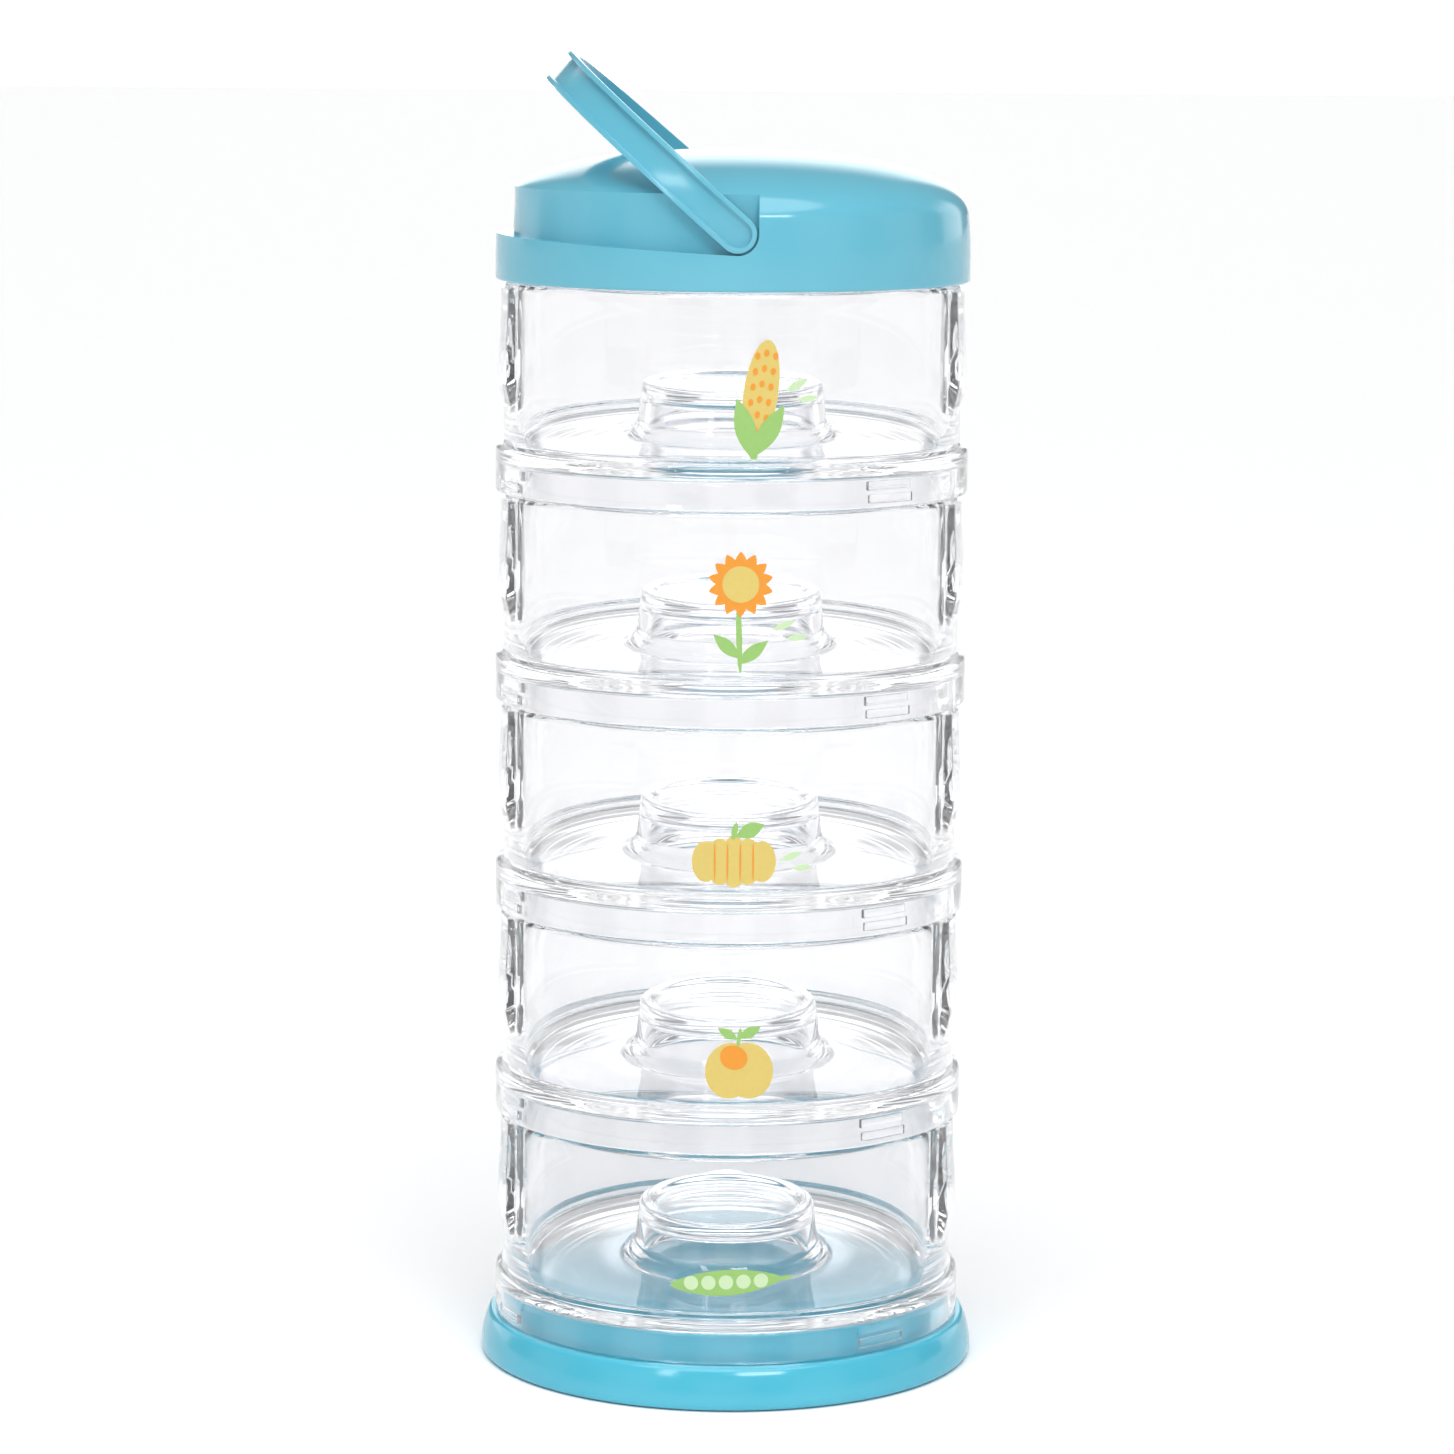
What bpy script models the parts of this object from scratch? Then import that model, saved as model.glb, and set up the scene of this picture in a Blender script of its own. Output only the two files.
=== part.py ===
"""Stacking formula dispenser: a base, five clear containers, a lid and a swing handle.

Everything is turned about +Z.  The object stands on z = 0, centred on the origin,
and its front is the -Y side.  Sizes are in metres.
"""
import math

import bmesh
import bpy
from mathutils import Matrix, Vector

MM = 0.001

# ---------------------------------------------------------------- driving sizes
container_count = 5
tier_pitch = 35.5 * MM          # height that one container adds to the stack

# coupling: a skirt on each piece slips over the neck of the piece below
skirt_radius = 40.0 * MM
skirt_wall = 1.3 * MM
skirt_shoulder = 2.15 * MM      # the skirt's upper edge over the underside of the floor
neck_wall = 1.4 * MM
neck_lead = 0.5 * MM            # plain rim of the neck over its lugs
lug_reach = 0.6 * MM            # how far a lug stands off its neck or skirt
lug_thickness = 1.5 * MM
lug_width = math.radians(14)
lug_offset = math.radians(34)   # lug centres, either side of +X and -X
lug_lift = 1.2 * MM             # underside of a skirt lug over the skirt's edge

# clearances
seat_gap = 0.3 * MM             # between stacked faces
lug_clearance = 0.3 * MM        # a lug to the wall it turns past, and to its mate
rim_clearance = 0.3 * MM        # neck rim to the floor or lid above it

# container
wall_step = 1.4 * MM            # the wall stands in from the skirt by this
floor_thickness = 2.0 * MM
floor_fillet = 1.6 * MM
shoulder_fillet = 1.2 * MM
hump_foot_radius = 16.3 * MM
hump_foot_fillet = 3.2 * MM
hump_top_radius = 15.4 * MM
hump_height = 9.2 * MM
hump_wall = 1.8 * MM
hump_rim = 1.6 * MM             # width of the rounded rim round the dished top
hump_dish = 0.9 * MM

# finger grips on both sides of each container
grip_width = math.radians(48)
grip_top_reach = 0.5 * MM       # how far a grip stands off the wall at its top
grip_reach = 1.0 * MM           # and at its fullest
grip_full_share = 0.40          # height of the fullest point, as a share of the window
grip_foot_share = 0.22          # height where it meets the wall again
grip_embed = 0.9 * MM           # how far its root is sunk in the wall

# base
base_height = 7.0 * MM
base_ledge = 1.0 * MM           # the base's shoulder stands out from the skirt above it
foot_flare = 2.4 * MM           # and its foot by this
foot_full_height = 3.0 * MM     # the foot is at its full radius up to here
foot_edge = 0.9 * MM
base_wall = 1.8 * MM

# lid
lid_height = 22.2 * MM
lid_side_height = 10.0 * MM     # upright part of the lid's side
lid_side_edge = 1.0 * MM        # its softened upper edge
lid_wall = 2.0 * MM
lid_core_wall = 2.7 * MM        # between the recess and the lid's bore
lid_roof = 0.55 * MM            # over the rim of the neck, where the recess is lowest
lid_edge_step = 2.5 * MM        # the dome turns down this far in from the side
dome_drops = [(0.33, 0.4), (0.60, 1.6), (0.78, 2.9), (0.91, 4.3), (1.0, 6.5)]
dome_corner_drop = 8.1 * MM     # drop of the dome's corner, halfway to the side
recess_depth = 2.7 * MM         # radial room for the folded handle
recess_taper = 0.5 * MM         # the recess wall leans in by this towards the dome
recess_lean_height = 14.0 * MM  # over the lid's seat, where it has leaned in fully
ledge_slope = math.radians(2.8)
pocket_width = math.radians(140)

# handle
pivot_x = 0.7 * MM
handle_width = 6.2 * MM
handle_thickness = 2.1 * MM
handle_rim = 1.1 * MM
handle_web_depth = 0.9 * MM
handle_clearance = 0.35 * MM    # round the handle in its recess
handle_raised = math.radians(41.5)
stud_radius = 1.5 * MM
stud_length = 1.4 * MM
stud_clearance = 0.3 * MM

# facets
turn_steps = 36
arc_steps = 10
lug_steps = 2
grip_steps = 6
pocket_steps = 14

# ------------------------------------------------------------- worked-out sizes
skirt_bore = skirt_radius - skirt_wall
neck_radius = skirt_bore - lug_reach - lug_clearance
neck_bore = neck_radius - neck_wall
skirt_lug_top = lug_lift + lug_thickness
neck_lug_bottom = skirt_lug_top + 2 * lug_clearance
neck_lug_top = neck_lug_bottom + lug_thickness
neck_height = neck_lug_top + neck_lead
floor_level = neck_height + rim_clearance
floor_top = floor_level + floor_thickness
skirt_height = floor_level + skirt_shoulder
wall_radius = skirt_radius - wall_step
base_shoulder_radius = skirt_radius + base_ledge
foot_radius = skirt_radius + foot_flare
lid_edge_radius = skirt_radius - lid_edge_step
core_foot_radius = skirt_radius - recess_depth
core_top_radius = core_foot_radius - recess_taper
lid_bore_radius = core_foot_radius - lid_core_wall
lid_seat = base_height + container_count * tier_pitch
recess_end_radius = handle_width / 2 + handle_clearance
pivot_z = lid_seat + floor_level + lid_roof + recess_end_radius
handle_inner_radius = core_foot_radius + handle_clearance
handle_outer_radius = handle_inner_radius + handle_thickness
lug_angles = [lug_offset, math.pi - lug_offset, math.pi + lug_offset, -lug_offset]


# -------------------------------------------------------------------- tool kit
def clear_scene():
    for thing in list(bpy.data.objects):
        bpy.data.objects.remove(thing, do_unlink=True)


def new_collection(name):
    group = bpy.data.collections.new(name)
    bpy.context.scene.collection.children.link(group)
    return group


def plastic(name, colour, roughness, transmission=0.0):
    finish = bpy.data.materials.new(name)
    finish.use_nodes = True
    shader = finish.node_tree.nodes["Principled BSDF"]
    shader.inputs["Base Color"].default_value = (*colour, 1.0)
    shader.inputs["Roughness"].default_value = roughness
    shader.inputs["Metallic"].default_value = 0.0
    shader.inputs["Transmission Weight"].default_value = transmission
    finish.diffuse_color = (*colour, 1.0)
    return finish


def place(name, mesh, group, finish=None):
    thing = bpy.data.objects.new(name, mesh)
    group.objects.link(thing)
    if finish is not None:
        mesh.materials.append(finish)
    if group is cutters:
        thing.hide_render = True
        thing.display_type = "WIRE"
    return thing


def turned(name, profile, group, finish=None, height=0.0):
    """A solid turned about Z from (radius, height) points, down the outside first."""
    mesh = bpy.data.meshes.new(name)
    points = [(radius, 0.0, level + height) for radius, level in profile]
    closed = profile[0][0] > 0.0
    edges = [(i, i + 1) for i in range(len(points) - 1)]
    if closed:
        edges.append((len(points) - 1, 0))
    mesh.from_pydata(points, edges, [])
    thing = place(name, mesh, group, finish)
    turn = thing.modifiers.new("turn", "SCREW")
    turn.angle = math.tau
    turn.steps = turn_steps
    turn.render_steps = turn_steps
    turn.use_merge_vertices = True
    turn.merge_threshold = 0.00005
    turn.use_smooth_shade = False
    return thing


def swept_block(name, section, centre, width, steps, height=0.0):
    """A cutter or a filler with the (radius, height) section, swept about Z."""
    block = bmesh.new()
    start = Matrix.Rotation(centre - width / 2, 4, "Z")
    points = [Vector((radius, 0.0, level + height)) for radius, level in section]
    corners = [block.verts.new(start @ point) for point in points]
    face = block.faces.new(corners)
    bmesh.ops.spin(
        block, geom=[face], axis=(0, 0, 1), cent=(0, 0, 0),
        angle=width, steps=steps, use_duplicate=False,
    )
    bmesh.ops.recalc_face_normals(block, faces=block.faces)
    mesh = bpy.data.meshes.new(name)
    block.to_mesh(mesh)
    block.free()
    return place(name, mesh, cutters)


def prism(name, outline, depth):
    """A plate with its (x, z) outline, as deep as given along Y, centred on Y = 0."""
    shape = bpy.data.curves.new(name, "CURVE")
    shape.dimensions = "2D"
    shape.fill_mode = "BOTH"
    shape.extrude = depth / 2
    spline = shape.splines.new("POLY")
    spline.points.add(len(outline) - 1)
    for point, (x, z) in zip(spline.points, outline):
        point.co = (x, z, 0.0, 1.0)
    spline.use_cyclic_u = True
    guide = bpy.data.objects.new(name + "_outline", shape)
    cutters.objects.link(guide)
    guide.rotation_euler = (math.pi / 2, 0.0, 0.0)
    bpy.context.view_layer.update()
    mesh = bpy.data.meshes.new_from_object(guide.evaluated_get(bpy.context.evaluated_depsgraph_get()))
    mesh.transform(guide.matrix_world)
    bpy.data.objects.remove(guide, do_unlink=True)
    bpy.data.curves.remove(shape)
    weld(mesh)
    return place(name, mesh, cutters)


def weld(mesh):
    shell = bmesh.new()
    shell.from_mesh(mesh)
    bmesh.ops.remove_doubles(shell, verts=shell.verts, dist=0.00001)
    bmesh.ops.recalc_face_normals(shell, faces=shell.faces)
    shell.to_mesh(mesh)
    shell.free()


def peg(name, radius, x, z, y_from, y_to):
    """A round peg along Y between two values of y."""
    body = bmesh.new()
    middle = Matrix.Translation((x, (y_from + y_to) / 2, z)) @ Matrix.Rotation(math.pi / 2, 4, "X")
    bmesh.ops.create_cone(
        body, cap_ends=True, segments=2 * arc_steps, radius1=radius, radius2=radius,
        depth=abs(y_to - y_from), matrix=middle,
    )
    mesh = bpy.data.meshes.new(name)
    body.to_mesh(mesh)
    body.free()
    return place(name, mesh, cutters)


def combine(target, other, operation):
    step = target.modifiers.new(other.name, "BOOLEAN")
    step.operation = operation
    step.solver = "EXACT"
    step.object = other


def arc(centre_x, centre_z, radius, start, end):
    """Points of an arc from one angle to another, both included."""
    turns = [start + (end - start) * i / arc_steps for i in range(arc_steps + 1)]
    return [(centre_x + radius * math.cos(t), centre_z + radius * math.sin(t)) for t in turns]


# ------------------------------------------------------------------- couplings
def add_neck_lugs(piece, seat):
    """Four lugs round the outside of a neck whose shoulder is at height seat."""
    section = [
        (neck_radius - neck_wall / 2, neck_lug_bottom), (neck_radius + lug_reach, neck_lug_bottom),
        (neck_radius + lug_reach, neck_lug_top), (neck_radius - neck_wall / 2, neck_lug_top),
    ]
    for number, angle in enumerate(lug_angles):
        name = f"{piece.name}_neck_lug_{number}"
        combine(piece, swept_block(name, section, angle, lug_width, lug_steps, seat), "UNION")


def add_skirt_lugs(piece, seat):
    """Four lugs round the inside of a skirt that comes down to height seat."""
    section = [
        (skirt_bore - lug_reach, lug_lift), (skirt_bore + skirt_wall / 2, lug_lift),
        (skirt_bore + skirt_wall / 2, skirt_lug_top), (skirt_bore - lug_reach, skirt_lug_top),
    ]
    for number, angle in enumerate(lug_angles):
        name = f"{piece.name}_skirt_lug_{number}"
        combine(piece, swept_block(name, section, angle, lug_width, lug_steps, seat), "UNION")


# ------------------------------------------------------------------ the pieces
def make_base():
    rim = base_height + neck_height
    hollow_top = rim - base_wall
    profile = [
        (0.0, rim), (neck_radius - foot_edge, rim), (neck_radius, rim - foot_edge),
        (neck_radius, base_height), (base_shoulder_radius, base_height),
        (foot_radius, foot_full_height), (foot_radius, foot_edge), (foot_radius - foot_edge, 0.0),
        (foot_radius - base_wall, 0.0), (foot_radius - base_wall, foot_full_height),
        (neck_radius - base_wall, base_height), (neck_radius - base_wall, hollow_top), (0.0, hollow_top),
    ]
    base = turned("base", profile, parts, plastic("base_plastic", blue, 0.25))
    add_neck_lugs(base, base_height)
    return base


def make_container(number):
    """Container number 1 stands on the base."""
    seat = base_height + (number - 1) * tier_pitch
    rim = tier_pitch + neck_height
    hump_top = floor_top + hump_height
    hollow_radius = hump_top_radius - hump_wall
    profile = [
        (neck_radius, rim), (neck_radius, tier_pitch),
        (wall_radius - shoulder_fillet, tier_pitch), (wall_radius, tier_pitch - shoulder_fillet),
        (wall_radius, skirt_height + skirt_radius - wall_radius), (skirt_radius, skirt_height),
        (skirt_radius, seat_gap), (skirt_bore, seat_gap), (skirt_bore, floor_level),
        (hump_foot_radius, floor_level), (hollow_radius, floor_level + hump_foot_fillet / 2),
        (hollow_radius, hump_top - hump_wall - hump_dish), (0.0, hump_top - hump_wall - hump_dish),
    ]
    inside = [
        (0.0, hump_top - hump_dish), (hump_top_radius - 2 * hump_rim, hump_top - hump_dish),
        (hump_top_radius - hump_rim, hump_top), (hump_top_radius - hump_rim / 3, hump_top),
        (hump_top_radius, hump_top - hump_rim / 2),
        (hump_foot_radius, floor_top + hump_foot_fillet / 3),
        (hump_foot_radius + hump_foot_fillet, floor_top),
        (neck_bore - floor_fillet, floor_top), (neck_bore, floor_top + floor_fillet), (neck_bore, rim),
    ]
    name = f"container_{number}"
    body = turned(name, inside + profile, parts, plastic(name + "_clear", clear, 0.05, 0.9), seat)
    add_grips(body, seat)
    add_neck_lugs(body, seat + tier_pitch)
    add_skirt_lugs(body, seat)
    return body


def add_grips(body, seat):
    """The two finger grips swell out from the wall, fullest below the middle."""
    window_foot = skirt_height + skirt_radius - wall_radius
    window = tier_pitch - shoulder_fillet - window_foot
    root = wall_radius - grip_embed
    section = [
        (root, window_foot + window * grip_foot_share),
        (wall_radius + grip_reach, window_foot + window * grip_full_share),
        (wall_radius + grip_top_reach, tier_pitch - shoulder_fillet),
        (root, tier_pitch - shoulder_fillet / 2),
    ]
    for side, angle in (("right", 0.0), ("left", math.pi)):
        grip = swept_block(f"{body.name}_{side}_grip", section, angle, grip_width, grip_steps, seat)
        combine(body, grip, "UNION")


def lid_dome():
    """Outer dome from its middle down to the top of the upright side."""
    dome = [(0.0, lid_height)]
    for share, drop in dome_drops:
        dome.append((share * lid_edge_radius, lid_height - drop * MM))
    corner = (skirt_radius - lid_edge_step / 2, lid_height - dome_corner_drop)
    foot = (skirt_radius, lid_side_height - lid_side_edge)
    shoulder = (skirt_radius - lid_edge_step / 6, lid_side_height + lid_side_edge)
    return dome + [corner, shoulder, foot]


def make_lid():
    under = lid_height - lid_wall
    inner_dome = [(share * lid_bore_radius, under - drop * MM) for share, drop in reversed(dome_drops)]
    profile = lid_dome() + [
        (skirt_radius, seat_gap), (skirt_bore, seat_gap),
        (skirt_bore, floor_level), (lid_bore_radius, floor_level),
    ] + inner_dome + [(0.0, under)]
    lid = turned("lid", profile, parts, plastic("lid_plastic", blue, 0.25), lid_seat)
    combine(lid, make_recess(), "DIFFERENCE")
    combine(lid, make_side_pocket(), "DIFFERENCE")
    hole_depth = core_foot_radius - stud_length - stud_clearance
    for side, sign in (("front", -1), ("back", 1)):
        hole = peg(
            f"lid_{side}_pivot_hole", stud_radius + stud_clearance, pivot_x, pivot_z,
            sign * hole_depth, sign * skirt_radius,
        )
        combine(lid, hole, "DIFFERENCE")
    add_skirt_lugs(lid, lid_seat)
    return lid


def make_recess():
    """Room for the handle: everything over the ledge and outside the lid's core."""
    far = 2 * skirt_radius
    drop = -math.pi / 2 - ledge_slope
    outline = arc(pivot_x, pivot_z, recess_end_radius, drop, 0.0)
    outline.append((pivot_x + recess_end_radius, pivot_z + far))
    outline.append((-far, pivot_z + far))
    tangent_x, tangent_z = outline[0]
    outline.append((-far, tangent_z + (tangent_x + far) * math.tan(ledge_slope)))
    recess = prism("lid_recess", outline, 3 * skirt_radius)
    core = [
        (0.0, lid_seat + 2 * lid_height), (core_top_radius, lid_seat + 2 * lid_height),
        (core_top_radius, lid_seat + recess_lean_height), (core_foot_radius, lid_seat + seat_gap),
        (core_foot_radius, lid_seat - lid_height), (0.0, lid_seat - lid_height),
    ]
    combine(recess, turned("lid_core", core, cutters), "DIFFERENCE")
    return recess


def make_side_pocket():
    """The side without a recess is hollowed out to an even wall."""
    pocket_outer = skirt_radius - lid_wall
    section = [
        (lid_bore_radius - lid_wall, neck_height), (pocket_outer, neck_height),
        (pocket_outer, lid_side_height), (lid_bore_radius, lid_side_height + lid_wall),
        (lid_bore_radius - lid_wall, lid_side_height + lid_wall),
    ]
    return swept_block("lid_side_pocket", section, 0.0, pocket_width, pocket_steps, lid_seat)


def capsule(radius, reach):
    """Outline of the handle seen along its pivot: a round end at the pivot, a long arm."""
    outline = arc(0.0, 0.0, radius, -math.pi / 2, math.pi / 2)
    outline.append((-reach, radius))
    outline.append((-reach, -radius))
    return outline


def make_handle():
    """Modelled folded down, then raised about its pivot."""
    half = handle_width / 2
    pivot = bpy.data.objects.new("handle_pivot", None)
    parts.objects.link(pivot)
    ring = [
        (handle_outer_radius, half + handle_rim), (handle_outer_radius, -half - handle_rim),
        (handle_inner_radius, -half - handle_rim), (handle_inner_radius, half + handle_rim),
    ]
    handle = turned("handle", ring, parts, plastic("handle_plastic", blue, 0.22))
    web_radius = handle_outer_radius - handle_web_depth
    channel = [
        (handle_outer_radius + handle_rim, half), (handle_outer_radius + handle_rim, -half),
        (web_radius, -half), (web_radius, half),
    ]
    web_cut = turned("handle_channel", channel, cutters)
    reach = 2 * skirt_radius
    outer = prism("handle_outline", capsule(half, reach), 3 * skirt_radius)
    inner = prism("handle_web_outline", capsule(half - handle_rim, reach), 3 * skirt_radius)
    combine(handle, outer, "INTERSECT")
    combine(web_cut, inner, "INTERSECT")
    combine(handle, web_cut, "DIFFERENCE")
    pegs = []
    for side, sign in (("front", -1), ("back", 1)):
        stud = peg(
            f"handle_{side}_stud", stud_radius, 0.0, 0.0,
            sign * (core_foot_radius - stud_length), sign * (handle_inner_radius + handle_thickness / 3),
        )
        combine(handle, stud, "UNION")
        pegs.append(stud)
    for thing in (handle, web_cut):
        thing.location.x = -pivot_x
    for thing in [handle, web_cut, outer, inner] + pegs:
        thing.parent = pivot
    pivot.location = (pivot_x, 0.0, pivot_z)
    pivot.rotation_euler = (0.0, handle_raised, 0.0)
    return handle


clear_scene()
blue = (0.14, 0.50, 0.66)
clear = (0.95, 0.97, 0.98)
parts = new_collection("formula_dispenser")
cutters = new_collection("cutters")
make_base()
for tier in range(1, container_count + 1):
    make_container(tier)
make_lid()
make_handle()
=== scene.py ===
# %% [markdown]
# # A stacking formula dispenser
# This notebook builds the looks of a baby formula dispenser: a blue base, five clear tiers
# with printed pictures, a blue lid and a swinging carry handle. The measured model is loaded
# first, and every piece made here takes its place from it and moves with one of its bodies.

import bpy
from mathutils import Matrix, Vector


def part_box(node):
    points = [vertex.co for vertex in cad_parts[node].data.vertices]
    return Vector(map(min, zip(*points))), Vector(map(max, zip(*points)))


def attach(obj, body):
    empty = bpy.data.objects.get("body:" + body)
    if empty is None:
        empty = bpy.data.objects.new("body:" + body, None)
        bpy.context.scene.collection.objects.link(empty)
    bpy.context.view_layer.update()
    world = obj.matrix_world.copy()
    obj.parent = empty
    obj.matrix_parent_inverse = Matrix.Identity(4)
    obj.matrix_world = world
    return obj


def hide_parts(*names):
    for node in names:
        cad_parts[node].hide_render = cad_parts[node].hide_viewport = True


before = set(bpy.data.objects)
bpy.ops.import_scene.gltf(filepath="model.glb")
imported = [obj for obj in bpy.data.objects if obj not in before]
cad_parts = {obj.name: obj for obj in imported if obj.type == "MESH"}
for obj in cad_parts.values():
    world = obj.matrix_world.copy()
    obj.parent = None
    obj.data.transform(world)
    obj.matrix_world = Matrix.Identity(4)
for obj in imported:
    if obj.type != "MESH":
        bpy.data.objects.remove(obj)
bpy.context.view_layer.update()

# %% Tools that the next cells need
import math

import bpy
from mathutils import Matrix, Vector

MM = 0.001


def deselect():
    if bpy.context.object is not None and bpy.context.object.mode != "OBJECT":
        bpy.ops.object.mode_set(mode="OBJECT")
    bpy.ops.object.select_all(action="DESELECT")


def pick(piece):
    """Makes one object the selected and active one."""
    deselect()
    piece.select_set(True)
    bpy.context.view_layer.objects.active = piece


def apply_modifier(piece, kind, **settings):
    pick(piece)
    step = piece.modifiers.new(kind.lower(), kind)
    for key, value in settings.items():
        setattr(step, key, value)
    bpy.ops.object.modifier_apply(modifier=step.name)


def remove(piece):
    bpy.data.objects.remove(piece, do_unlink=True)


def join(name, pieces):
    deselect()
    for piece in pieces:
        piece.select_set(True)
    bpy.context.view_layer.objects.active = pieces[0]
    bpy.ops.object.join()
    pieces[0].name = name
    return pieces[0]


print("tools ready")

# %% [markdown]
# ## Places, from the measured model
# The stack repeats at one pitch. Each piece has a *seat*, the height where its skirt rests on
# the piece below, and all of its own sizes count from there.

# %% Seats of the pieces
tiers = [f"container_{number}" for number in range(1, 6)]
seat_gap = 0.3 * MM
seat = {tier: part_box(tier)[0].z - seat_gap for tier in tiers}
seat["lid"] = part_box("lid")[0].z - seat_gap
seat["base"] = seat["container_1"]
pitch = seat["container_2"] - seat["container_1"]
rim_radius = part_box("container_1")[1].x
print("seats in mm:", {name: round(height / MM, 1) for name, height in seat.items()})

# %% [markdown]
# ## Turning a profile
# Nearly every piece of this stack is round, so it could be carved from a cylinder, or drawn as
# a half outline and turned like clay on a wheel. Turning wins: one outline sets the outside, the
# inside and every rounded corner. The outline grows from a single vertex by extrusion, its
# corners are rounded with a vertex bevel, and `spin` sweeps it round the upright axis.

# %% The turning tool
fine_steps = 180
round_segments = 4


def select_near(piece, place):
    """Selects the vertex nearest to a place, in edit mode."""
    bpy.ops.mesh.select_all(action="DESELECT")
    bpy.ops.object.mode_set(mode="OBJECT")
    nearest = min(piece.data.vertices, key=lambda vertex: (vertex.co - place).length)
    nearest.select = True
    bpy.ops.object.mode_set(mode="EDIT")


def turn(name, corners, height=0.0, steps=fine_steps, closed=False):
    """A turned solid. corners holds (radius, height, rounding) in mm, in order along the outline."""
    deselect()
    bpy.ops.mesh.primitive_plane_add(size=MM)
    piece = bpy.context.object
    piece.name = name
    bpy.ops.object.mode_set(mode="EDIT")
    bpy.ops.mesh.select_mode(type="VERT")
    bpy.ops.mesh.select_all(action="SELECT")
    bpy.ops.mesh.merge(type="CENTER")
    places = [Vector((corner[0] * MM, 0.0, corner[1] * MM + height)) for corner in corners]
    bpy.ops.transform.translate(value=places[0])
    stops = places + places[:1] if closed else places
    for before, after in zip(stops, stops[1:]):
        bpy.ops.mesh.extrude_region_move(TRANSFORM_OT_translate={"value": after - before})
    bpy.ops.mesh.select_all(action="SELECT")
    bpy.ops.mesh.remove_doubles(threshold=0.0001 * MM)
    for corner, place in zip(corners, places):
        if len(corner) > 2 and corner[2] > 0:
            select_near(piece, place)
            bpy.ops.mesh.bevel(
                offset=corner[2] * MM, offset_type="OFFSET", segments=round_segments, affect="VERTICES",
            )
    bpy.ops.mesh.select_all(action="SELECT")
    bpy.ops.mesh.spin(steps=steps, angle=math.tau, center=(0, 0, 0), axis=(0, 0, 1))
    bpy.ops.mesh.select_all(action="SELECT")
    bpy.ops.mesh.remove_doubles(threshold=0.001 * MM)
    bpy.ops.mesh.normals_make_consistent(inside=False)
    bpy.ops.object.mode_set(mode="OBJECT")
    return piece


def smooth(piece, angle=32):
    pick(piece)
    bpy.ops.object.shade_smooth_by_angle(angle=math.radians(angle))
    return piece


print("one turn is", fine_steps, "steps of", 360 / fine_steps, "degrees")

# %% [markdown]
# ## The couplings
# A skirt slips over a neck, and an eighth of a turn slides four small lugs on the skirt under
# four lugs on the neck. They could be bent out of the wall, but a joined block is how a mould
# makes them: a short arc of ring, with soft corners, united with the wall it stands on.

# %% A ring of lugs
lug_angles = [34, 146, 214, 326]
lug_half_width = 7


def lug_ring(name, inner, outer, low, high, height):
    """Four arcs of ring in one mesh, between two radii and two heights in mm."""
    deselect()
    bpy.ops.mesh.primitive_plane_add(size=1.0, rotation=(math.pi / 2, 0, 0))
    first = bpy.context.object
    bpy.ops.object.transform_apply(location=True, rotation=True, scale=True)
    first.data.transform(Matrix.Diagonal(((outer - inner) * MM, 1.0, (high - low) * MM, 1.0)))
    first.data.transform(Matrix.Translation(((outer + inner) / 2 * MM, 0, (low + high) / 2 * MM + height)))
    first.data.transform(Matrix.Rotation(math.radians(-lug_half_width), 4, "Z"))
    bpy.ops.object.mode_set(mode="EDIT")
    bpy.ops.mesh.select_all(action="SELECT")
    bpy.ops.mesh.spin(steps=7, angle=math.radians(2 * lug_half_width), center=(0, 0, 0), axis=(0, 0, 1))
    bpy.ops.mesh.select_all(action="SELECT")
    bpy.ops.mesh.normals_make_consistent(inside=False)
    bpy.ops.object.mode_set(mode="OBJECT")
    apply_modifier(
        first, "BEVEL", width=0.2 * MM, segments=2, limit_method="ANGLE", angle_limit=math.radians(60),
    )
    lugs = []
    for angle in lug_angles:
        lug = first.copy()
        lug.data = first.data.copy()
        lug.data.transform(Matrix.Rotation(math.radians(angle), 4, "Z"))
        bpy.context.scene.collection.objects.link(lug)
        lugs.append(lug)
    remove(first)
    return join(name, lugs)


def unite(piece, other):
    apply_modifier(piece, "BOOLEAN", operation="UNION", solver="EXACT", object=other)
    remove(other)


def cut(piece, cutter):
    apply_modifier(piece, "BOOLEAN", operation="DIFFERENCE", solver="EXACT", object=cutter)
    remove(cutter)


neck_radius = 37.8
skirt_bore = 38.7
lug_reach = 0.6
neck_lugs = (neck_radius - 0.7, neck_radius + lug_reach, 3.3, 4.8)
skirt_lugs = (skirt_bore - lug_reach, skirt_bore + 0.65, 1.2, 2.7)
print("lugs at", lug_angles, "degrees")

# %% [markdown]
# ## The base
# The foot is a flared ring that rises to a shoulder, with a narrower neck on top for the first
# tier. It is one moulding, hollow underneath, so its outline runs over the top, down the flare,
# and back up the inside.

# %% Model the base
base_rim = 12.3
shoulder = 7.0
foot_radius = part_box("base")[1].x / MM
foot_inside = foot_radius - 1.8
base = turn("base_shell", [
    (0, base_rim), (neck_radius, base_rim, 0.9), (neck_radius, shoulder, 0.3), (41.0, shoulder, 0.6),
    (foot_radius, 3.6, 2.2), (foot_radius, 0, 0.9), (foot_inside, 0, 0.4), (foot_inside, 3.0, 1.0),
    (36.0, shoulder, 1.0), (36.0, 10.5, 1.0), (0, 10.5),
])
unite(base, lug_ring("base_lugs", *neck_lugs, seat["base"]))
smooth(base)
print("base:", len(base.data.polygons), "faces")

# %% [markdown]
# ## A clear tier
# Each tier is a thin cup. Its floor rises into a hollow dished hump, which steers the powder
# to the rim, its skirt hangs below the floor, and its neck stands above the shoulder. All five
# are the same moulding, so it is modelled once and copied.

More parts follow.
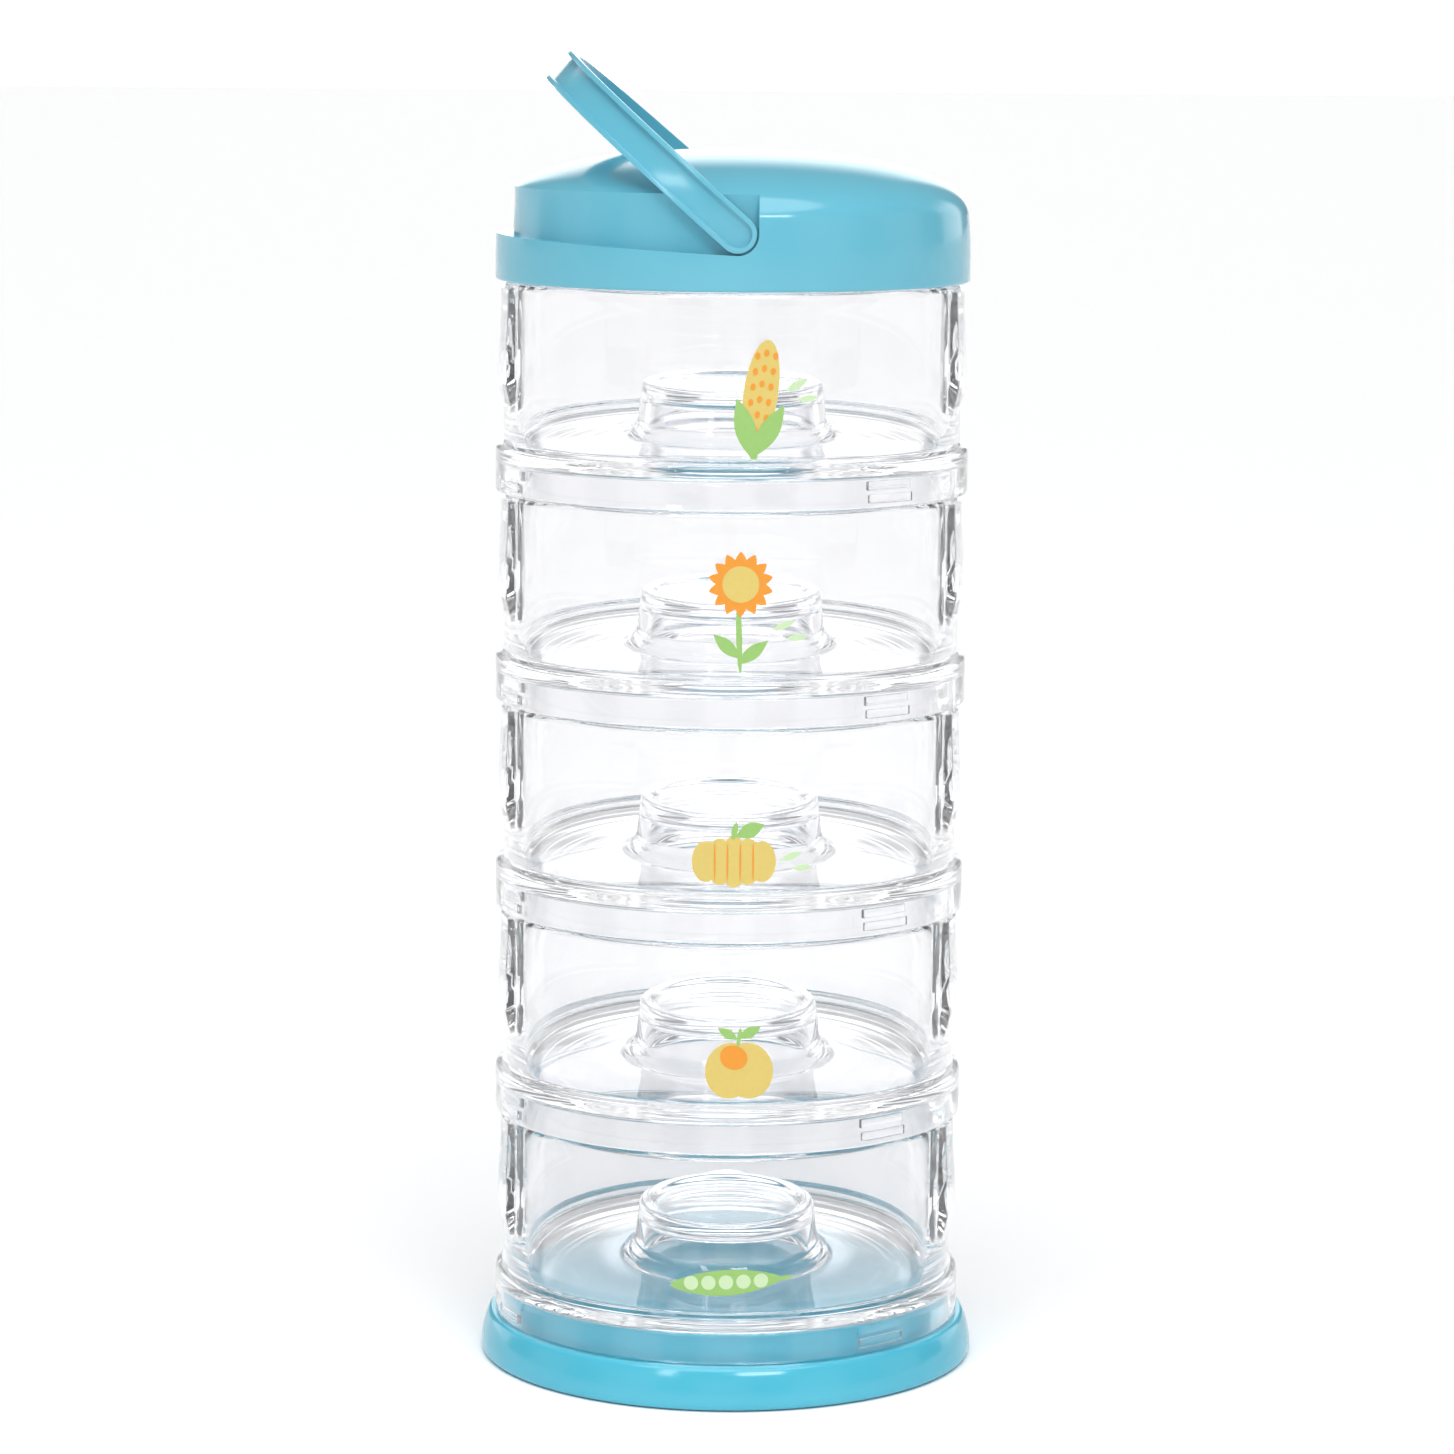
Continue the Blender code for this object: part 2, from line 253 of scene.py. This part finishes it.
# %% Outline of a tier
tier_rim = 40.8
tier_shoulder = pitch / MM
skirt_radius = rim_radius / MM
wall_radius = 38.6
bore = 36.4
floor_top = 7.6
floor_under = 5.6
hump_top = 16.8
wall_foot = 8.7
wall_levels = 14
wall_step = (tier_shoulder - 1.2 - wall_foot - 0.8) / wall_levels
wall = [(wall_radius, tier_shoulder - 1.2 - wall_step * level) for level in range(1, wall_levels)]
tier_outline = [
    (0, hump_top - 0.9), (12.6, hump_top - 0.9, 0.5), (13.7, hump_top, 0.55), (15.3, hump_top, 0.75),
    (16.4, floor_top, 3.0), (bore, floor_top, 0.8), (bore, tier_rim, 0.5), (neck_radius, tier_rim, 0.5),
    (neck_radius, tier_shoulder, 0.3), (wall_radius, tier_shoulder, 1.0), *wall,
    (wall_radius, wall_foot, 0.5), (skirt_radius, 7.9, 0.6), (skirt_radius, 0.3, 0.4),
    (skirt_bore, 0.3, 0.3), (skirt_bore, floor_under, 0.5),
    (14.9, floor_under, 2.4), (13.6, 14.2, 1.2), (0, 14.2),
]
print(len(tier_outline), "points in the outline of a tier")

# %% [markdown]
# The finger grips are two broad pads that swell out of the wall on both sides, fullest a little
# below the middle. A Displace modifier pushes the wall out along its normals, and a vertex group
# says by how much, so the pads stay part of one smooth skin.

# %% Model one tier with its grips
grip_half_width = 20
grip_edge = 2.0
grip_reach = 1.0 * MM


def ramp(value, low, high):
    """0 below low, 1 above high, and a smooth rise between."""
    share = min(max((value - low) / (high - low), 0.0), 1.0)
    return share * share * (3 - 2 * share)


def grip_weight(place):
    """How far out the wall is pushed at a place: 0 on the plain wall, 1 where a pad is fullest."""
    radius = math.hypot(place.x, place.y)
    if abs(radius - wall_radius * MM) > 0.02 * MM:
        return 0.0
    aside = math.degrees(math.atan2(abs(place.y), abs(place.x)))
    across = 1 - ramp(aside, grip_half_width - grip_edge, grip_half_width)
    down = (tier_shoulder * MM - place.z) / ((tier_shoulder - wall_foot) * MM)
    along = (0.5 + 0.5 * ramp(down, 0.1, 0.55)) * (1 - ramp(down, 0.58, 0.82))
    return across * along


tier_master = turn("tier_master", tier_outline)
group = tier_master.vertex_groups.new(name="grip")
for vertex in tier_master.data.vertices:
    group.add([vertex.index], grip_weight(vertex.co), "REPLACE")
apply_modifier(
    tier_master, "DISPLACE", strength=grip_reach, mid_level=0.0, direction="NORMAL", vertex_group="grip",
)
tier_master.vertex_groups.clear()
unite(tier_master, lug_ring("tier_neck_lugs", *neck_lugs, tier_shoulder * MM))
unite(tier_master, lug_ring("tier_skirt_lugs", *skirt_lugs, 0.0))
smooth(tier_master)
print("tier:", len(tier_master.data.polygons), "faces")

# %% Copy the tier to its five seats
tier_shells = []
for tier in tiers:
    shell = tier_master.copy()
    shell.data = tier_master.data.copy()
    shell.data.transform(Matrix.Translation((0, 0, seat[tier])))
    shell.name = tier + "_shell"
    bpy.context.scene.collection.objects.link(shell)
    tier_shells.append(shell)
remove(tier_master)
print([shell.name for shell in tier_shells])

# %% [markdown]
# ## The lid
# The dome is a soft squarish curve, flat on top and quick over the shoulder. A formula with two
# exponents, a superellipse, draws such a curve with no corner in it, and the same formula, drawn
# smaller, gives the hollow inside.

# %% Turn the lid
lid_top = 22.2
dome_foot = 11.5
dome_radius = 39.6
lid_bore = 34.6
dome_points = 26


def dome(radius, foot, top):
    """Points of half a dome, from its middle down to its foot."""
    points = []
    for step in range(dome_points + 1):
        turned = math.pi / 2 * (1 - step / dome_points)
        out = max(math.cos(turned), 0.0) ** (2 / 2.3)
        up = math.sin(turned) ** (2 / 2.1)
        points.append((radius * out, foot + (top - foot) * up))
    return points


lid = turn("lid_shell", [
    *dome(dome_radius, dome_foot, lid_top), (39.9, 8.8, 1.5), (40.0, 5.0), (40.0, 0.3, 0.5),
    (skirt_bore, 0.3, 0.3), (skirt_bore, floor_under, 0.4), (lid_bore, floor_under, 0.4),
    *reversed(dome(lid_bore, 9.5, 20.2)),
], seat["lid"])
print("lid:", len(lid.data.polygons), "faces")

# %% [markdown]
# The handle folds down into a recess that runs from the front pivot, round the left, to the back
# pivot. Its floor is a ledge that climbs a little to the left. The cutter starts as a cylinder
# on the pivot axis. Its left half is pulled out to the left and its upper half pulled up, which
# keeps the round corner where the handle's end lies. A tapered core is then taken out of the
# cutter, so that it cuts a band and not the whole dome.

# %% Cut the recess
pivot = Vector((0.7 * MM, 0.0, seat["lid"] + 9.6 * MM))
handle_half = 3.1
handle_gap = 0.35
core_foot = 37.3
core_lean = 0.5
ledge_slope = math.radians(2.8)
far = 80 * MM


def axle(name, radius, length, steps=72):
    """A cylinder along Y through the pivot."""
    deselect()
    bpy.ops.mesh.primitive_cylinder_add(
        vertices=steps, radius=radius * MM, depth=length * MM, location=pivot, rotation=(math.pi / 2, 0, 0),
    )
    piece = bpy.context.object
    piece.name = name
    bpy.ops.object.transform_apply(location=True, rotation=True, scale=True)
    return piece


def pull(piece, keep, move):
    """Moves the vertices that keep() accepts."""
    pick(piece)
    bpy.ops.object.mode_set(mode="EDIT")
    bpy.ops.mesh.select_mode(type="VERT")
    bpy.ops.mesh.select_all(action="DESELECT")
    bpy.ops.object.mode_set(mode="OBJECT")
    for vertex in piece.data.vertices:
        vertex.select = keep(vertex.co)
    bpy.ops.object.mode_set(mode="EDIT")
    bpy.ops.transform.translate(value=move)
    bpy.ops.object.mode_set(mode="OBJECT")


tiny = 0.01 * MM
recess = axle("recess", handle_half + handle_gap, 120)
pull(recess, lambda place: place.z > pivot.z + tiny, (0, 0, far))
pull(recess, lambda place: place.x < pivot.x - tiny, (-far, 0, far * math.tan(ledge_slope)))
core = turn("core", [
    (0, 60), (core_foot - core_lean, 60), (core_foot - core_lean, 14),
    (core_foot, 2), (core_foot, -20), (0, -20),
], seat["lid"])
cut(recess, core)
cut(lid, recess)
unite(lid, lug_ring("lid_lugs", *skirt_lugs, seat["lid"]))
print("lid with its recess:", len(lid.data.polygons), "faces")

# %% [markdown]
# ## The carry handle
# The handle is half a hoop with a channel down its outside, so that two thin rims catch the
# light. It is modelled folded down, where it is a plain band round the axis of the stack: a
# turned ring, kept only inside a capsule outline. A shallower band inside a smaller capsule
# sinks the channel. Then it swings up about its pivots.

# %% Shape the handle
hoop_inner = core_foot + handle_gap
hoop_outer = hoop_inner + 2.1
hoop_half_height = 5
rim_width = 0.8
web_depth = 1.1
handle_raised = math.radians(41.5)


def capsule(name, radius):
    """A cylinder on the pivot axis with its left half pulled out."""
    outline = axle(name, radius, 120)
    pull(outline, lambda place: place.x < pivot.x - tiny, (-far, 0, 0))
    return outline


def band(name, inner, outer, half, outline):
    """A turned ring round the pivot height, kept inside an outline."""
    ring = turn(name, [(outer, half), (outer, -half), (inner, -half), (inner, half)], pivot.z, closed=True)
    apply_modifier(ring, "BOOLEAN", operation="INTERSECT", solver="EXACT", object=outline)
    remove(outline)
    return ring


handle = band("handle_hoop", hoop_inner, hoop_outer, hoop_half_height, capsule("handle_outline", handle_half))
web_outline = capsule("web_outline", handle_half - rim_width)
channel = band("channel", hoop_outer - web_depth, hoop_outer + 2, hoop_half_height, web_outline)
cut(handle, channel)
apply_modifier(
    handle, "BEVEL", width=0.28 * MM, segments=3, limit_method="ANGLE", angle_limit=math.radians(45),
)
print("handle:", len(handle.data.polygons), "faces")

# %% Add its studs and swing it up
stud_radius = 1.5
stud_reach = 1.4
stud_root = 1.2
stud_room = 0.3
hole_depth = 6
for side in (-1, 1):
    stud = axle("stud", stud_radius, stud_reach + stud_root, steps=40)
    middle = side * (core_foot - stud_reach + (stud_reach + stud_root) / 2) * MM
    stud.data.transform(Matrix.Translation((0, middle, 0)))
    unite(handle, stud)
smooth(handle)
swing = Matrix.Translation(pivot) @ Matrix.Rotation(handle_raised, 4, "Y") @ Matrix.Translation(-pivot)
handle.data.transform(swing)
for side in (-1, 1):
    hole = axle("hole", stud_radius + stud_room, hole_depth, steps=40)
    middle = side * (core_foot - stud_reach - stud_room + hole_depth / 2) * MM
    hole.data.transform(Matrix.Translation((0, middle, 0)))
    cut(lid, hole)
smooth(lid)
print("the handle stands", round(math.degrees(handle_raised), 1), "degrees up from its ledge")

# %% [markdown]
# ## The printed pictures
# Each tier carries one small picture on its front, printed in flat inks on the curved wall. The
# ones here are plain garden pictures. A print could be an image texture, but ink is a real layer
# with an edge, so each patch of ink is cut from a thin skin round the wall, as a cookie is cut
# from rolled dough. The cutter is a bunch of upright prisms: discs, ovals and leaves.

# %% Tools for printing
ink_thickness = 0.05
ink_lift = 0.03


def oval(x, z, width, height, tilt=0.0, pointed=0.0, sides=40):
    """A prism along Y with an oval outline. pointed, from 0 to 1, draws its two ends to points."""
    deselect()
    bpy.ops.mesh.primitive_cylinder_add(
        vertices=sides, radius=0.5, depth=30 * MM, location=(0, 0, 0), rotation=(math.pi / 2, 0, 0),
    )
    piece = bpy.context.object
    bpy.ops.object.transform_apply(location=True, rotation=True, scale=True)
    if pointed:
        for vertex in piece.data.vertices:
            vertex.co.x *= 1 - pointed * (2 * abs(vertex.co.z)) ** 2
    piece.data.transform(Matrix.Diagonal((width * MM, 1.0, height * MM, 1.0)))
    piece.data.transform(Matrix.Rotation(math.radians(tilt), 4, "Y"))
    piece.data.transform(Matrix.Translation((x * MM, -rim_radius, z * MM)))
    return piece


def ink(name, tier, layer, shapes):
    """One patch of ink on a tier. Heights of the shapes count from the tier's seat."""
    low = wall_radius + ink_lift + layer * (ink_thickness + 0.01)
    skin = turn(name, [
        (low + ink_thickness, tier_shoulder - 1.6), (low + ink_thickness, wall_foot + 0.2),
        (low, wall_foot + 0.2), (low, tier_shoulder - 1.6),
    ], seat[tier], closed=True)
    cutter = join(name + "_cutter", shapes)
    cutter.data.transform(Matrix.Translation((0, 0, seat[tier])))
    apply_modifier(skin, "BOOLEAN", operation="INTERSECT", solver="EXACT", use_self=True, object=cutter)
    remove(cutter)
    return smooth(skin)


def ring_of(count, x, z, reach, width, height, pointed=0.0, start=0.0):
    """Ovals set round a centre, each pointing outwards."""
    shapes = []
    for number in range(count):
        turned = start + 360 * number / count
        out_x = x + reach * math.sin(math.radians(turned))
        out_z = z + reach * math.cos(math.radians(turned))
        shapes.append(oval(out_x, out_z, width, height, turned, pointed))
    return shapes


prints = {}
print("ink is", ink_thickness, "mm thick")

# %% Top tier: an ear of corn
tier = "container_5"
cob = [oval(4.6, 19.5, 5.6, 17.5, 8)]
kernels = []
for row in range(6):
    for column in (-1, 0, 1):
        across = 4.6 + 1.45 * column + 0.14 * (row - 2.5) * 2.6
        kernels.append(oval(across, 19.3 + 2.5 * (row - 2.5) + 0.5 * (column == 0), 0.85, 1.15, 8, sides=16))
husks = [oval(2.2, 13.6, 3.4, 10.5, -16, 0.7), oval(6.0, 13.4, 3.2, 9.5, 30, 0.7)]
husks.append(oval(3.6, 9.6, 1.1, 3.6, 6))
sprigs = [oval(10.4, 20.8, 1.3, 4.2, 62, 0.8), oval(12.2, 18.6, 1.1, 3.6, 84, 0.8)]
prints["cob"] = (tier, "yellow", ink("print_corn_cob", tier, 0, cob))
prints["kernels"] = (tier, "orange", ink("print_corn_kernels", tier, 1, kernels))
prints["husks"] = (tier, "green", ink("print_corn_husks", tier, 2, husks))
prints["corn_sprigs"] = (tier, "pale_green", ink("print_corn_sprigs", tier, 0, sprigs))
print("corn printed")

# %% Fourth tier: a sunflower
tier = "container_4"
petals = ring_of(14, 1.6, 24.0, 3.4, 2.0, 3.8, 0.5)
seeds = [oval(1.6, 24.0, 6.0, 6.0)]
stem = [oval(1.4, 15.2, 1.0, 11.5, -2), oval(-0.6, 13.8, 2.2, 6.0, -48, 0.8)]
stem.append(oval(3.6, 12.8, 2.2, 6.4, 52, 0.8))
sprigs = [oval(8.6, 17.2, 1.2, 4.0, 70, 0.8), oval(10.8, 15.2, 1.1, 3.6, 86, 0.8)]
prints["petals"] = (tier, "orange", ink("print_flower_petals", tier, 1, petals))
prints["seeds"] = (tier, "yellow", ink("print_flower_seeds", tier, 2, seeds))
prints["stem"] = (tier, "green", ink("print_flower_stem", tier, 0, stem))
prints["flower_sprigs"] = (tier, "pale_green", ink("print_flower_sprigs", tier, 0, sprigs))
print("sunflower printed")

# %% Third tier: a pumpkin
tier = "container_3"
lobes = [oval(0.8 + 2.3 * step, 13.8, 4.6, 8.6 - 0.9 * abs(step)) for step in (-2, -1, 0, 1, 2)]
creases = [oval(0.8 + 2.1 * step, 13.8, 0.28, 6.2) for step in (-1.5, -0.5, 0.5, 1.5)]
leaves = [oval(0.9, 18.9, 1.0, 2.8, 12), oval(3.4, 19.0, 2.5, 5.0, 66, 0.7)]
sprigs = [oval(10.2, 14.6, 1.2, 4.0, 70, 0.8), oval(12.0, 12.6, 1.1, 3.4, 86, 0.8)]
prints["pumpkin"] = (tier, "yellow", ink("print_pumpkin", tier, 0, lobes))
prints["creases"] = (tier, "orange", ink("print_pumpkin_creases", tier, 1, creases))
prints["pumpkin_leaves"] = (tier, "green", ink("print_pumpkin_leaves", tier, 1, leaves))
prints["pumpkin_sprigs"] = (tier, "pale_green", ink("print_pumpkin_sprigs", tier, 0, sprigs))
print("pumpkin printed")

# %% Second tier: an apple
tier = "container_2"
apple = [oval(0.4, 14.4, 8.2, 9.4, 10), oval(3.4, 14.4, 8.2, 9.4, -10)]
blush = [oval(1.0, 16.6, 4.6, 4.0, 20)]
leaves = [oval(1.9, 20.0, 0.7, 3.2, 8), oval(3.6, 20.8, 1.8, 4.2, 62, 0.8)]
leaves.append(oval(0.0, 20.6, 1.6, 3.8, -60, 0.8))
prints["apple"] = (tier, "yellow", ink("print_apple", tier, 0, apple))
prints["blush"] = (tier, "orange", ink("print_apple_blush", tier, 1, blush))
prints["apple_leaves"] = (tier, "green", ink("print_apple_leaves", tier, 1, leaves))
print("apple printed")

# %% Bottom tier: a pea pod
tier = "container_1"
pod = [oval(0.0, 14.0, 4.4, 18.5, 86, 0.35), oval(9.6, 14.6, 0.7, 3.0, 80)]
peas = [oval(0.0 + 2.9 * step, 14.1 + 0.12 * step, 2.4, 2.4) for step in (-2, -1, 0, 1, 2)]
prints["pod"] = (tier, "green", ink("print_pea_pod", tier, 0, pod))
prints["peas"] = (tier, "pale_green", ink("print_peas", tier, 1, peas))
print("peas printed")

# %% [markdown]
# ## Putting the pieces in their places
# Each fine piece stands for one measured solid and moves with its body. The ink rides on the
# tier it is printed on, so a tier that turns takes its picture along.

# %% Ride and replace
shells = {"base": base, "lid": lid, "handle": handle, **dict(zip(tiers, tier_shells))}
for body, shell in shells.items():
    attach(shell, body)
    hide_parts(body)
for tier, colour, patch in prints.values():
    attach(patch, tier)
print(len(shells), "shells and", len(prints), "patches of ink placed")

# %% [markdown]
# ## Plastics
# The blue parts are polypropylene, which has a soft shine and a very fine ripple from the
# mould. The tiers are clear styrene acrylonitrile, a hard glassy plastic. Colours are written
# as the hex codes a maker would use, and one function turns them into linear light.

# %% Tools for materials
def linear(code):
    """A hex colour as linear red, green, blue and alpha."""
    channels = [int(code[start:start + 2], 16) / 255 for start in (0, 2, 4)]
    return [c / 12.92 if c <= 0.04045 else ((c + 0.055) / 1.055) ** 2.4 for c in channels] + [1.0]


def new_finish(name, **values):
    """A Principled material with constants set on its own sockets."""
    finish = bpy.data.materials.new(name)
    finish.use_nodes = True
    shader = finish.node_tree.nodes["Principled BSDF"]
    for socket, value in values.items():
        shader.inputs[socket.replace("_", " ")].default_value = value
    return finish, shader


def add(finish, kind, links=None, **values):
    """Adds one node. values fill its sockets, and links join them to other nodes' outputs."""
    node = finish.node_tree.nodes.new(kind)
    for socket, value in values.items():
        node.inputs[socket.replace("_", " ")].default_value = value
    for socket, output in (links or {}).items():
        finish.node_tree.links.new(output, node.inputs[socket])
    return node


def noise(finish, place, size, detail, roughness):
    """The height of a noise pattern with features of a size in mm."""
    node = add(
        finish, "ShaderNodeTexNoise", {"Vector": place}, Scale=1 / (size * MM), Detail=detail,
        Roughness=roughness,
    )
    return node.outputs["Fac"]


def coordinates(finish):
    return add(finish, "ShaderNodeTexCoord").outputs["Object"]


print("one blue in linear light:", [round(channel, 3) for channel in linear("5FC3DB")])

# %% Moulded polypropylene
def polypropylene(name, light, deep, roughness):
    """Blue plastic with slow streaks of pigment, a mould ripple and faint handling marks."""
    finish, shader = new_finish(name, IOR=1.49, Specular_IOR_Level=0.5)
    place = coordinates(finish)
    flow = noise(finish, place, 22, 3.0, 0.55)
    tint = add(finish, "ShaderNodeMix", {"Factor": flow})
    tint.data_type = "RGBA"
    tint.inputs["A"].default_value = linear(light)
    tint.inputs["B"].default_value = linear(deep)
    finish.node_tree.links.new(tint.outputs["Result"], shader.inputs["Base Color"])
    wear = noise(finish, place, 4, 6.0, 0.7)
    gloss = add(
        finish, "ShaderNodeMapRange", {"Value": wear}, To_Min=roughness - 0.04, To_Max=roughness + 0.07,
    )
    finish.node_tree.links.new(gloss.outputs["Result"], shader.inputs["Roughness"])
    ripple = noise(finish, place, 1.1, 2.0, 0.5)
    bump = add(finish, "ShaderNodeBump", {"Height": ripple}, Strength=0.12, Distance=0.02 * MM)
    finish.node_tree.links.new(bump.outputs["Normal"], shader.inputs["Normal"])
    return finish


lid_plastic = polypropylene("lid_polypropylene", "68B4C8", "5CACC1", 0.13)
handle_plastic = polypropylene("handle_polypropylene", "69B4C8", "5DACC1", 0.15)
base_plastic = polypropylene("base_polypropylene", "52B4CB", "46ACC4", 0.12)
print("blue finishes:", lid_plastic.name, handle_plastic.name, base_plastic.name)

# %% Clear tier plastic
def clear_plastic(name):
    """Glassy plastic with a faint ripple. Light that crosses it many times turns a little grey."""
    finish, shader = new_finish(
        name, Base_Color=linear("FBFBFC"), Transmission_Weight=1.0, IOR=1.57, Roughness=0.0,
    )
    place = coordinates(finish)
    ripple = noise(finish, place, 6, 2.0, 0.5)
    bump = add(finish, "ShaderNodeBump", {"Height": ripple}, Strength=0.15, Distance=0.02 * MM)
    finish.node_tree.links.new(bump.outputs["Normal"], shader.inputs["Normal"])
    return finish


tier_plastic = clear_plastic("clear_styrene_acrylonitrile")
print("clear finish:", tier_plastic.name)

# %% Printing inks
def printing_ink(name, code, pale):
    """Pad printed ink: matt, slightly uneven where the pad pressed less."""
    finish, shader = new_finish(name, Roughness=0.45, IOR=1.5)
    place = coordinates(finish)
    press = noise(finish, place, 0.8, 4.0, 0.6)
    tint = add(finish, "ShaderNodeMix", {"Factor": press})
    tint.data_type = "RGBA"
    tint.inputs["A"].default_value = linear(code)
    tint.inputs["B"].default_value = linear(pale)
    finish.node_tree.links.new(tint.outputs["Result"], shader.inputs["Base Color"])
    return finish


inks = {
    "yellow": printing_ink("yellow_ink", "CFB65C", "D6C06E"),
    "orange": printing_ink("orange_ink", "DF8C1E", "E3962E"),
    "green": printing_ink("green_ink", "8AB75F", "97C070"),
    "pale_green": printing_ink("pale_green_ink", "BCD6A8", "C6DDB4"),
}
finishes = {"base": base_plastic, "lid": lid_plastic, "handle": handle_plastic}
for body, shell in shells.items():
    shell.data.materials.clear()
    shell.data.materials.append(finishes.get(body, tier_plastic))
for tier, colour, patch in prints.values():
    patch.data.materials.clear()
    patch.data.materials.append(inks[colour])
print("inks:", ", ".join(inks))

# %% [markdown]
# ## Studio
# Clear plastic shows only what it bends into view, so the room matters as much as the plastic.
# A white room all round would make the tiers vanish. Here tall white panels stand round the
# room with grey gaps between them, brighter behind the object than on the camera's side, which
# draws soft grey lines along the edges of the clear walls. A wide box overhead lights the floor,
# and two soft boxes in front put the shine on the lid and the foot.

# %% Floor and room
deselect()
bpy.ops.mesh.primitive_plane_add(size=30.0, location=(0, 0, -0.0002))
floor = bpy.context.object
floor.name = "studio_floor"
floor_finish, _ = new_finish("white_paper_sweep", Base_Color=linear("FFFFFF"), Roughness=0.8)
floor.data.materials.append(floor_finish)

room = bpy.data.worlds.new("studio_room")
bpy.context.scene.world = room
room.use_nodes = True
wires = room.node_tree


def world_math(operation, first, second=None):
    node = wires.nodes.new("ShaderNodeMath")
    node.operation = operation
    for socket, value in zip(node.inputs, (first, second)):
        if isinstance(value, float):
            socket.default_value = value
        elif value is not None:
            wires.links.new(value, socket)
    return node.outputs["Value"]


def world_ramp(value, start, end, low, high):
    node = wires.nodes.new("ShaderNodeMapRange")
    node.interpolation_type = "SMOOTHSTEP"
    wires.links.new(value, node.inputs["Value"])
    for socket, number in zip(node.inputs[1:5], (start, end, low, high)):
        socket.default_value = number
    return node.outputs["Result"]


direction = wires.nodes.new("ShaderNodeTexCoord")
axes = wires.nodes.new("ShaderNodeSeparateXYZ")
wires.links.new(direction.outputs["Generated"], axes.inputs["Vector"])
round_the_room = world_math("ARCTAN2", axes.outputs["X"], axes.outputs["Y"])
panels = world_ramp(world_math("COSINE", world_math("MULTIPLY", round_the_room, 8.0)), -0.5, 0.2, 0.0, 1.0)
band = world_ramp(world_math("ABSOLUTE", axes.outputs["Z"]), 0.26, 0.5, 1.0, 0.0)
paint = wires.nodes.new("ShaderNodeMix")
paint.data_type = "RGBA"
wires.links.new(world_math("MULTIPLY", panels, band), paint.inputs["Factor"])
paint.inputs["A"].default_value = (0.24, 0.243, 0.25, 1.0)
panel_light = wires.nodes.new("ShaderNodeCombineXYZ")
brighter_behind = world_ramp(axes.outputs["Y"], 0.1, 0.9, 0.74, 1.9)
for channel in panel_light.inputs:
    wires.links.new(brighter_behind, channel)
wires.links.new(panel_light.outputs["Vector"], paint.inputs["B"])
wires.links.new(paint.outputs["Result"], wires.nodes["Background"].inputs["Color"])
light_paths = bpy.context.scene.cycles
light_paths.max_bounces = 64
light_paths.transmission_bounces = 64
light_paths.glossy_bounces = 64
light_paths.blur_glossy = 0.0
bpy.context.scene.view_settings.view_transform = "Standard"
print("floor and room ready")

# %% Soft boxes
def soft_box(name, place, size, power, aim=(0, 0, 0.11)):
    deselect()
    bpy.ops.object.light_add(type="AREA", location=place)
    lamp = bpy.context.object
    lamp.name = name
    lamp.data.shape = "RECTANGLE"
    lamp.data.size, lamp.data.size_y = size
    lamp.data.energy = power
    lamp.rotation_euler = (Vector(aim) - Vector(place)).to_track_quat("-Z", "Y").to_euler()
    return lamp


deselect()
bpy.ops.object.light_add(type="SUN", location=(0, 0, 1.5), rotation=(math.radians(20), 0, 0))
sky = bpy.context.object
sky.name = "overhead_box"
sky.data.energy = 2.3
sky.data.angle = math.radians(60)
soft_box("left_box", (-0.55, -1.0, 0.75), (0.16, 0.5), 1.8)
soft_box("right_box", (0.35, -1.1, 0.75), (0.46, 0.2), 3.4)

# %% [markdown]
# ## Camera
# A long lens stands a little above the lid and looks down by eight degrees, as one looks at a
# bottle on a table, so that the rims show as narrow ellipses. The camera leans by less than half
# a degree about its own line of sight.

# %% Camera
camera_data = bpy.data.cameras.new("studio_camera")
camera = bpy.data.objects.new("studio_camera", camera_data)
bpy.context.scene.collection.objects.link(camera)
camera_data.sensor_width = 36.0
camera_data.lens = 120.7
camera_pitch = math.radians(8.27)
camera_lean = math.radians(0.408)
standpoint = Matrix.Translation((-0.48 * MM, -825 * MM, 228.4 * MM))
camera.matrix_world = (
    standpoint @ Matrix.Rotation(math.pi / 2 - camera_pitch, 4, "X") @ Matrix.Rotation(camera_lean, 4, "Z")
)
bpy.context.scene.camera = camera
print("lens", camera_data.lens, "mm")
